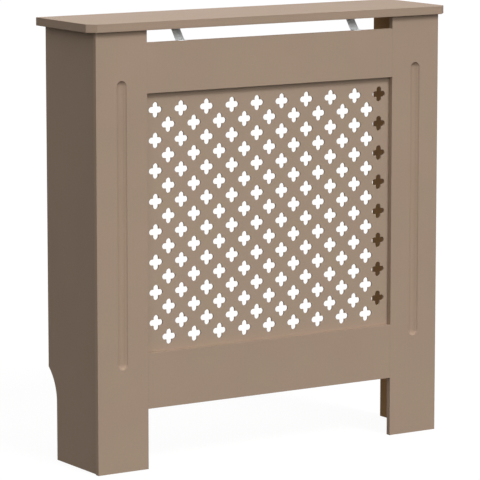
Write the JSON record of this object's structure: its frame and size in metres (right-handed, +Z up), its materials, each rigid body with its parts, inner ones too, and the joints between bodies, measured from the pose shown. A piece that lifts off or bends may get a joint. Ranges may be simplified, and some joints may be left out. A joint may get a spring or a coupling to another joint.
{
  "type": "radiator cover cabinet",
  "caption": "Free-standing radiator cover in raw board: shelf top on notched side panels, fluted front frame with a perforated sheet behind it, and slim steel brace straps.",
  "frame": {"origin": "middle of the footprint on the floor", "axes": "+X to the right as seen from the front, +Y back towards the wall, +Z up; the front face looks towards -Y"},
  "size_m": [0.78, 0.195, 0.815],
  "materials": {
    "mdf": "raw medium density fibreboard, matt",
    "mdf_frame": "raw medium density fibreboard, sanded and matt",
    "hardboard": "thin raw fibreboard sheet, matt",
    "softwood": "planed softwood, unfinished",
    "beech": "ribbed hardwood dowel, unfinished",
    "zinc_steel": "zinc plated, satin",
    "bright_steel": "bright zinc plated",
    "zinc_alloy": "die cast zinc alloy, dull"
  },
  "bodies": {
    "root": {"top_panel": "mdf", "side_panel_left": "mdf", "side_panel_right": "mdf", "stile_left": "mdf_frame", "stile_right": "mdf_frame", "upper_rail": "mdf_frame", "lower_rail": "mdf_frame", "dowel_upper_left_low": "beech", "dowel_upper_left_high": "beech", "dowel_upper_right_low": "beech", "dowel_upper_right_high": "beech", "dowel_lower_left_low": "beech", "dowel_lower_left_high": "beech", "dowel_lower_right_low": "beech", "dowel_lower_right_high": "beech", "grille_panel": "hardboard", "grille_screw_left_low": "bright_steel", "grille_screw_left_high": "bright_steel", "grille_screw_right_low": "bright_steel", "grille_screw_right_high": "bright_steel", "grille_screw_top_left": "bright_steel", "grille_screw_top_right": "bright_steel", "grille_screw_bottom_left": "bright_steel", "grille_screw_bottom_right": "bright_steel", "corner_batten_left": "softwood", "corner_batten_right": "softwood", "batten_side_screw_left_low": "bright_steel", "batten_side_screw_left_high": "bright_steel", "batten_side_screw_right_low": "bright_steel", "batten_side_screw_right_high": "bright_steel", "batten_stile_screw_left_low": "bright_steel", "batten_stile_screw_left_high": "bright_steel", "batten_stile_screw_right_low": "bright_steel", "batten_stile_screw_right_high": "bright_steel", "brace_strap_left": "zinc_steel", "brace_strap_right": "zinc_steel", "brace_rail_screw_left": "bright_steel", "brace_rail_screw_right": "bright_steel", "brace_top_screw_left": "bright_steel", "brace_top_screw_right": "bright_steel", "cam_left_front": "zinc_alloy", "cam_left_rear": "zinc_alloy", "cam_right_front": "zinc_alloy", "cam_right_rear": "zinc_alloy", "cam_bolt_left_front": "bright_steel", "cam_bolt_left_rear": "bright_steel", "cam_bolt_right_front": "bright_steel", "cam_bolt_right_rear": "bright_steel", "dowel_top_left": "beech", "dowel_top_right": "beech", "wall_bracket_left": "zinc_steel", "wall_bracket_right": "zinc_steel", "bracket_screw_left_low": "bright_steel", "bracket_screw_left_high": "bright_steel", "bracket_screw_right_low": "bright_steel", "bracket_screw_right_high": "bright_steel"}
  },
  "joints": []
}
